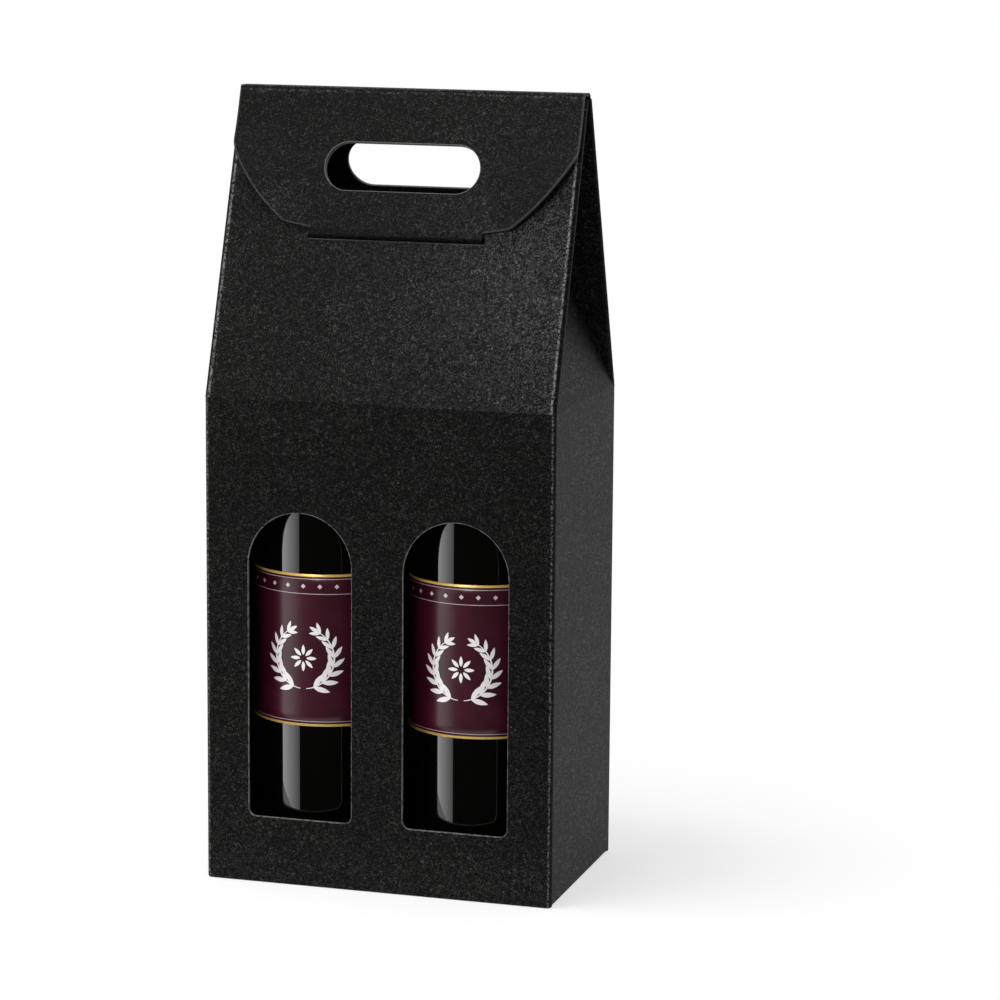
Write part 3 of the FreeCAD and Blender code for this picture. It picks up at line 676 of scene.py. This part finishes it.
def gold_foil(groups):
    """Satin gold foil of the capsule, drawn down the neck in fine lines."""
    material, net, shader = new_material("gold_capsule_foil", Metallic=1.0)
    place = net.place()
    stretched = net.vector_math("MULTIPLY", place, (1.0, 1.0, 0.06))
    drawn = net.noise(stretched, DRAWN_LINES, detail=3.0)
    tone = net.group(groups["board_grain"], Vector=place, Fibre_size=4 * MM, Fleck_share=0.3)
    net.feed(shader["Base Color"], net.mix(drawn, FOIL_GOLD, PALE_FOIL_GOLD))
    net.feed(shader["Roughness"], net.ramp(tone["Clouds"], *WIDE_SPAN, 0.28, 0.4))
    net.feed(shader["Normal"], net.bump(drawn, 0.15, 0.05 * MM))
    return material


def arc(centre, start, end, steps):
    """Points round a centre from start to end, the shorter way, without the start."""
    first = atan2(start[1] - centre[1], start[0] - centre[0])
    last = atan2(end[1] - centre[1], end[0] - centre[0])
    if last - first > pi:
        last -= 2 * pi
    if first - last > pi:
        last += 2 * pi
    radius = sqrt((start[0] - centre[0]) ** 2 + (start[1] - centre[1]) ** 2)
    spans = [first + (last - first) * step / steps for step in range(1, steps + 1)]
    return [(centre[0] + radius * cos(turn), centre[1] + radius * sin(turn)) for turn in spans]


def new_object(name, mesh, body, material):
    """A visible piece of this mesh, on its body of the frame and in its material slot."""
    made = bpy.data.objects.new(name, mesh)
    bpy.context.scene.collection.objects.link(made)
    mesh.materials.append(material)
    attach(made, body)
    return made


def turned(name, profile, axis_x, body, material):
    """A piece turned round a bottle's axis from a profile that starts and ends on it."""
    work = bmesh.new()
    rings = []
    for radius, height in profile:
        if radius == 0:
            rings.append([work.verts.new((axis_x, BOTTLE_Y, FLOOR_HEIGHT + height))])
            continue
        rings.append([work.verts.new((axis_x + radius * cos(2 * pi * step / TURNS),
                                      BOTTLE_Y + radius * sin(2 * pi * step / TURNS),
                                      FLOOR_HEIGHT + height)) for step in range(TURNS)])
    for low, high in zip(rings, rings[1:]):
        for step in range(TURNS if len(low) + len(high) > 2 else 0):
            following = (step + 1) % TURNS
            corners = [low[step % len(low)], low[following % len(low)],
                       high[following % len(high)], high[step % len(high)]]
            work.faces.new(list(dict.fromkeys(corners)))
    bmesh.ops.remove_doubles(work, verts=work.verts, dist=SAME_POINT)
    loose = [point for point in work.verts if not point.link_faces]
    bmesh.ops.delete(work, geom=loose, context="VERTS")
    bmesh.ops.recalc_face_normals(work, faces=work.faces)
    for face in work.faces:
        face.smooth = True
    for edge in work.edges:
        edge.smooth = edge.is_manifold and edge.calc_face_angle() < CRISP_EDGE
    mesh = bpy.data.meshes.new(name)
    work.to_mesh(mesh)
    work.free()
    return new_object(name, mesh, body, material)


def bottle_profile():
    """Half section of the bottle: punt, heel, straight side, shoulder, neck and lip."""
    punt_sphere = (PUNT_RADIUS ** 2 + PUNT_HEIGHT ** 2) / (2 * PUNT_HEIGHT)
    shoulder = (BOTTLE_RADIUS - SHOULDER_RADIUS * (1 - cos(SHOULDER_TURN)),
                SIDE_HEIGHT + SHOULDER_RADIUS * sin(SHOULDER_TURN))
    throat = (shoulder[0] - NECK_RADIUS) / (1 - cos(SHOULDER_TURN))
    shaded_neck = shoulder[1] + throat * sin(SHOULDER_TURN)
    heel = BOTTLE_RADIUS - HEEL_RADIUS
    points = [(0, PUNT_HEIGHT)]
    points += arc((0, PUNT_HEIGHT - punt_sphere), points[-1], (PUNT_RADIUS, 0), steps=14)
    points.append((heel, 0))
    points += arc((heel, HEEL_RADIUS), points[-1], (BOTTLE_RADIUS, HEEL_RADIUS), steps=8)
    points.append((BOTTLE_RADIUS, SIDE_HEIGHT))
    points += arc((BOTTLE_RADIUS - SHOULDER_RADIUS, SIDE_HEIGHT), points[-1], shoulder, steps=14)
    points += arc((NECK_RADIUS + throat, shaded_neck), points[-1], (NECK_RADIUS, shaded_neck), steps=12)
    points += [(NECK_RADIUS, BOTTLE_HEIGHT - LIP_HEIGHT), (LIP_RADIUS, BOTTLE_HEIGHT - LIP_HEIGHT),
               (LIP_RADIUS, BOTTLE_HEIGHT - LIP_EDGE)]
    points += arc((LIP_RADIUS - LIP_EDGE, BOTTLE_HEIGHT - LIP_EDGE), points[-1],
                  (LIP_RADIUS - LIP_EDGE, BOTTLE_HEIGHT), steps=5)
    return points + [(0, BOTTLE_HEIGHT)]


def capsule_profile():
    """Foil skin, outside then inside, with a tear band pressed in under the lip."""
    low = BOTTLE_HEIGHT - CAPSULE_LENGTH
    shaded_neck, lip = NECK_RADIUS + FOIL_GAP, LIP_RADIUS + FOIL_GAP
    ledge, top = BOTTLE_HEIGHT - LIP_HEIGHT - FOIL_GAP, BOTTLE_HEIGHT + FOIL_GAP
    pressed = ledge - TEAR_BAND
    rim, rim_inside = (lip - LIP_EDGE, top + FOIL), (lip - LIP_EDGE, top)
    edge_middle = (lip - LIP_EDGE, top - LIP_EDGE)
    points = [(shaded_neck, low), (shaded_neck + FOIL, low), (shaded_neck + FOIL, pressed), (shaded_neck + FOIL / 2, pressed + FOIL),
              (shaded_neck + FOIL / 2, pressed + 4 * FOIL), (shaded_neck + FOIL, pressed + 5 * FOIL),
              (shaded_neck + FOIL, ledge - FOIL), (lip + FOIL, ledge - FOIL), (lip + FOIL, top - LIP_EDGE)]
    points += arc(edge_middle, points[-1], rim, steps=6)
    points += [(0, top + FOIL), (0, top), rim_inside]
    points += arc(edge_middle, points[-1], (lip, top - LIP_EDGE), steps=6)
    return points + [(lip, ledge), (shaded_neck, ledge), (shaded_neck, low)]


def on_bottle(axis_x, radius, across, up):
    """A point of the flat label, wrapped round the bottle's front."""
    turn = across / LABEL_RADIUS
    height = FLOOR_HEIGHT + LABEL_RISE + up
    return Vector((axis_x + radius * sin(turn), BOTTLE_Y - radius * cos(turn), height))


def wrapped_label(name, axis_x, body, material):
    """The label's paper, with its flat place as its texture map."""
    work = bmesh.new()
    flat_map = work.loops.layers.uv.new("flat_place")
    half = LABEL_RADIUS * LABEL_WRAP / 2
    columns, rows = 72, 12
    outer, inner = LABEL_RADIUS + LABEL_PAPER, LABEL_RADIUS
    places = [[(half * (2 * column / columns - 1), LABEL_HEIGHT * row / rows)
               for column in range(columns + 1)] for row in range(rows + 1)]
    skins = [[[work.verts.new(on_bottle(axis_x, radius, *place)) for place in line] for line in places]
             for radius in (outer, inner)]

    def add(corners):
        face = work.faces.new([skins[skin][row][column] for skin, row, column in corners])
        face.smooth = len({skin for skin, _, _ in corners}) == 1
        for loop, (_, row, column) in zip(face.loops, corners):
            loop[flat_map].uv = places[row][column]

    for row in range(rows):
        for column in range(columns):
            ring = [(row, column), (row, column + 1), (row + 1, column + 1), (row + 1, column)]
            add([(0, *corner) for corner in ring])
            add([(1, *corner) for corner in reversed(ring)])
        for column, way in ((0, 1), (columns, -1)):
            side = [(0, row, column), (0, row + 1, column), (1, row + 1, column), (1, row, column)]
            add(side[::way])
    for column in range(columns):
        for row, way in ((0, -1), (rows, 1)):
            side = [(0, row, column), (0, row, column + 1), (1, row, column + 1), (1, row, column)]
            add(side[::way])
    bmesh.ops.recalc_face_normals(work, faces=work.faces)
    mesh = bpy.data.meshes.new(name)
    work.to_mesh(mesh)
    work.free()
    return new_object(name, mesh, body, material)


def leaf(length, width, tilt, foot):
    """Outline of a pointed leaf on the flat label, from its foot at a tilt."""
    shares = [step / LEAF_STEPS for step in range(1, LEAF_STEPS)]
    right = [(width / 2 * sin(pi * share) ** LEAF_FULLNESS * (1 - LEAF_TAPER * share), length * share)
             for share in shares]
    outline = [(0, 0)] + right + [(0, length)] + [(-x, y) for x, y in reversed(right)]
    return [(foot[0] + x * cos(tilt) - y * sin(tilt), foot[1] + x * sin(tilt) + y * cos(tilt))
            for x, y in outline]


def stroke(start, end):
    """Outer and inner edge of a branch, a curved stroke that thins towards both ends."""
    outer, inner = [], []
    for step in range(BRANCH_STEPS + 1):
        share = step / BRANCH_STEPS
        turn = start + (end - start) * share
        half = BRANCH_WIDTH / 2 * (BRANCH_TIP + (1 - BRANCH_TIP) * sin(pi * share))
        outer.append(((WREATH_RADIUS + half) * cos(turn), (WREATH_RADIUS + half) * sin(turn)))
        inner.append(((WREATH_RADIUS - half) * cos(turn), (WREATH_RADIUS - half) * sin(turn)))
    return outer, inner


def branch_leaves(side):
    """Leaves of one branch: pairs that grow smaller upwards, and one at its tip."""

    def on_branch(angle):
        turn = side * angle - pi / 2
        foot = (WREATH_RADIUS * cos(turn), WREATH_RADIUS * sin(turn))
        return foot, turn if side > 0 else turn + pi

    leaves = []
    for pair in range(LEAF_PAIRS):
        foot, along = on_branch(FIRST_LEAF + LEAF_SPREAD * pair / (LEAF_PAIRS - 1))
        size = 1.0 - LEAF_SHRINK * pair
        leaves += [leaf(LEAF_LENGTH * size, LEAF_WIDTH * size, along + splay, foot)
                   for splay in (-side * LEAF_SPLAY, side * LEAF_SPLAY)]
    foot, along = on_branch(BRANCH_END)
    return leaves + [leaf(TIP_LEAF_LENGTH, TIP_LEAF_WIDTH, along, foot)]


def petals():
    """Leaves of the small rosette in the wreath's middle."""
    turns = [2 * pi * petal / PETALS for petal in range(PETALS)]
    return [leaf(PETAL_LENGTH, PETAL_WIDTH, turn, (-PETAL_FOOT * sin(turn), PETAL_FOOT * cos(turn)))
            for turn in turns]


def wreath(name, axis_x, body, material):
    """Open wreath of two leafy branches round a small rosette, in raised white ink."""
    work = bmesh.new()
    raised = LABEL_RADIUS + LABEL_PAPER + INK

    def add(outline):
        work.faces.new([work.verts.new(on_bottle(axis_x, raised, x, WREATH_CENTRE + y))
                        for x, y in outline])

    def ribbon(first, second):
        for step in range(len(first) - 1):
            add([first[step], first[step + 1], second[step + 1], second[step]])

    def fan(outline):
        add([outline[0], outline[1], outline[-1]])
        for step in range(1, len(outline) // 2):
            near = [outline[step], outline[step + 1], outline[-step - 1], outline[-step]]
            add(list(dict.fromkeys(near)))

    for side in (-1, 1):
        ribbon(*stroke(side * BRANCH_START - pi / 2, side * BRANCH_END - pi / 2))
        for outline in branch_leaves(side):
            fan(outline)
    for outline in petals():
        fan(outline)
    mesh = bpy.data.meshes.new(name)
    work.to_mesh(mesh)
    work.free()
    made = new_object(name, mesh, body, material)
    ink = made.modifiers.new("ink_thickness", "SOLIDIFY")
    ink.thickness = INK_THICKNESS
    ink.offset = -1


def dress_cad_node(name, material):
    """Give a solid of the frame this material only."""
    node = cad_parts[name]
    node.data.materials.clear()
    node.data.materials.append(material)


def lift_corners(flap):
    """The flap's free lower corners stand a little off the slope. The mesh itself stays as it is."""
    tree = bpy.data.node_groups.new("lifted_corners", "GeometryNodeTree")
    for way in ("INPUT", "OUTPUT"):
        tree.interface.new_socket("Geometry", in_out=way, socket_type="NodeSocketGeometry")
    net = Net(tree)
    given, out = net.add("NodeGroupInput").outputs, net.add("NodeGroupOutput").inputs
    finer = net.add("GeometryNodeSubdivideMesh")
    net.feed(finer.inputs["Mesh"], given["Geometry"])
    net.feed(finer.inputs["Level"], LIFT_SUBDIVISION)
    x, y, z = net.split(net.add("GeometryNodeInputPosition").outputs["Position"])
    aside = net.ramp(net.absolute(x), TAB_HALF, FLAP_WIDTH / 2)
    down = net.ramp(slope_drop(net, y, z), LIFT_START, LIFT_END)
    lift = net.times(aside, down, CORNER_LIFT)
    outward = net.times(lift, -cos(SLOPE_ANGLE))
    upward = net.times(lift, sin(SLOPE_ANGLE))
    move = net.add("GeometryNodeSetPosition")
    net.feed(move.inputs["Geometry"], finer.outputs["Mesh"])
    net.feed(move.inputs["Offset"], net.join(0.0, outward, upward))
    net.feed(out["Geometry"], move.outputs["Geometry"])
    flap.modifiers.new("lifted_corners", "NODES").node_group = tree


def build_contents(groups):
    """The two bottles with their capsules, labels and print."""
    glass, foil = bottle_glass(groups), gold_foil(groups)
    paper, ink = label_paper(groups), white_ink(groups)
    for side, way in (("left", -1), ("right", 1)):
        axis_x = way * BOTTLE_SPACING / 2
        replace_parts(turned(f"glass_bottle_{side}", bottle_profile(), axis_x, "body", glass),
                    f"bottle_{side}")
        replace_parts(turned(f"foil_capsule_{side}", capsule_profile(), axis_x, "body", foil),
                    f"capsule_{side}")
        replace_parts(wrapped_label(f"printed_label_{side}", axis_x, "body", paper), f"label_{side}")
        wreath(f"label_wreath_{side}", axis_x, "body", ink)


def pale_floor():
    """Pale table top that keeps the shadow near the box and turns to the white background around it."""
    material, net, _ = new_material("pale_floor", Base_Color=(FLOOR_COLOUR, FLOOR_COLOUR, FLOOR_COLOUR, 1),
                                    Roughness=0.6, Specular_IOR_Level=0.1)
    x, y, _ = net.split(net.place())
    away = net.ramp(net.length(x, y), *SHADOW_REACH)
    ahead = net.ramp(net.minus(-BODY_DEPTH / 2, y), *FLOOR_FADE)
    white_share = net.ramp(net.larger(away, ahead), 0.0, 1.0, FLOOR_WHITE, 1.0, smooth=False)
    rays = net.add("ShaderNodeLightPath").outputs
    seen = net.larger(rays["Is Glossy Ray"], rays["Is Transmission Ray"], rays["Is Camera Ray"])
    nodes = material.node_tree.nodes
    blend = net.add("ShaderNodeMixShader")
    net.feed(blend.inputs["Fac"], net.times(seen, white_share))
    net.feed(blend.inputs[1], nodes["Principled BSDF"].outputs[0])
    net.feed(blend.inputs[2], net.add("ShaderNodeEmission").outputs[0])
    net.feed(nodes["Material Output"].inputs["Surface"], blend.outputs[0])
    return material


def build_floor():
    """Flat sheet of the table top, from just in front of the box to far behind it."""
    work = bmesh.new()
    bmesh.ops.create_grid(work, x_segments=1, y_segments=1, size=0.5)
    bmesh.ops.scale(work, vec=(2 * FLOOR_SIDE, FLOOR_BACK - FLOOR_FRONT, 1), verts=work.verts)
    bmesh.ops.translate(work, vec=(0, (FLOOR_BACK + FLOOR_FRONT) / 2, 0), verts=work.verts)
    mesh = bpy.data.meshes.new("studio_floor")
    work.to_mesh(mesh)
    work.free()
    mesh.materials.append(pale_floor())
    floor = bpy.data.objects.new("studio_floor", mesh)
    bpy.context.scene.collection.objects.link(floor)


def build_world():
    """White for the camera all round. What the object mirrors is white behind it and dark in front."""
    world = bpy.data.worlds.new("studio")
    bpy.context.scene.world = world
    world.use_nodes = True
    net = Net(world.node_tree)
    background = world.node_tree.nodes["Background"].inputs
    background["Color"].default_value = (1, 1, 1, 1)
    rays = net.add("ShaderNodeLightPath").outputs
    mirrored = net.larger(rays["Is Glossy Ray"], rays["Is Transmission Ray"])
    _, toward_back, _ = net.split(net.add("ShaderNodeTexCoord").outputs["Generated"])
    room = net.ramp(toward_back, *MIRRORED_TURN, DARK_FRONT, WHITE_BACK)
    ambient = net.ramp(toward_back, *AMBIENT_TURN, FRONT_AMBIENT, BACK_AMBIENT)
    seen = net.plus(rays["Is Camera Ray"], net.times(mirrored, room))
    others = net.minus(1.0, net.larger(rays["Is Camera Ray"], mirrored))
    net.feed(background["Strength"], net.plus(seen, net.times(others, ambient)))


def softbox(name, place, aim, width, height, power, fade=None):
    """A rectangular lamp. fade is its share of light along its width, from its left edge to its right."""
    lamp = bpy.data.lights.new(name, "AREA")
    lamp.shape = "RECTANGLE"
    lamp.size, lamp.size_y = width, height
    lamp.energy = power
    made = bpy.data.objects.new(name, lamp)
    bpy.context.scene.collection.objects.link(made)
    made.location = place
    made.rotation_euler = (Vector(aim) - Vector(place)).to_track_quat("-Z", "Y").to_euler()
    if fade:
        lamp.use_nodes = True
        net = Net(lamp.node_tree)
        across, _, _ = net.split(net.add("ShaderNodeNewGeometry").outputs["Parametric"])
        strength = lamp.node_tree.nodes["Emission"].inputs["Strength"]
        net.feed(strength, net.ramp(across, 0.0, 1.0, *fade, smooth=False))


def build_lamps():
    """A tall lamp for the bottles' highlights, a small one that the slope mirrors, and one overhead."""
    softbox("left_softbox", place=(-0.86, -0.87, 0.18), aim=(-0.04, -0.04, 0.18),
            width=0.74, height=1.5, power=6.5, fade=(1.7, 0.35))
    softbox("sheen_softbox", place=(-0.055, -0.475, 0.56), aim=(0.085, -0.036, 0.30),
            width=0.10, height=0.10, power=0.6)
    softbox("overhead_softbox", place=(-0.22, -0.20, 1.20), aim=(0.0, 0.0, 0.3),
            width=0.4, height=0.4, power=9.0)


def build_camera():
    """Camera at the photograph's viewing angle, from its yaw, pitch and roll."""
    forward = Vector((sin(CAMERA_YAW) * cos(CAMERA_PITCH), cos(CAMERA_YAW) * cos(CAMERA_PITCH),
                      -sin(CAMERA_PITCH)))
    level = Vector((cos(CAMERA_YAW), -sin(CAMERA_YAW), 0))
    upright = level.cross(forward)
    right = level * cos(CAMERA_ROLL) + upright * sin(CAMERA_ROLL)
    up = upright * cos(CAMERA_ROLL) - level * sin(CAMERA_ROLL)
    camera = bpy.data.objects.new("photo_camera", bpy.data.cameras.new("photo_camera"))
    bpy.context.scene.collection.objects.link(camera)
    turn = Matrix((right, up, -forward)).transposed().to_4x4()
    camera.matrix_world = Matrix.Translation(CAMERA_PLACE) @ turn
    camera.data.lens = LENS
    camera.data.sensor_width = SENSOR
    camera.data.shift_x, camera.data.shift_y = CAMERA_SHIFT
    camera.data.clip_start, camera.data.clip_end = CAMERA_CLIP
    bpy.context.scene.camera = camera


def main():
    groups = {"board_grain": make_board_grain(), "line_wear": make_line_wear(),
              "cut_outline": make_cut_outline(), "cut_face": make_cut_face(),
              "label_print": make_label_print()}
    dress_cad_node("carton", carton_board(groups))
    dress_cad_node("closing_flap", flap_board(groups))
    lift_corners(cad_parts["closing_flap"])
    dress_cad_node("divider", divider_board(groups))
    build_contents(groups)
    build_floor()
    build_world()
    build_lamps()
    build_camera()
    bpy.context.scene.view_settings.view_transform = "Standard"


main()
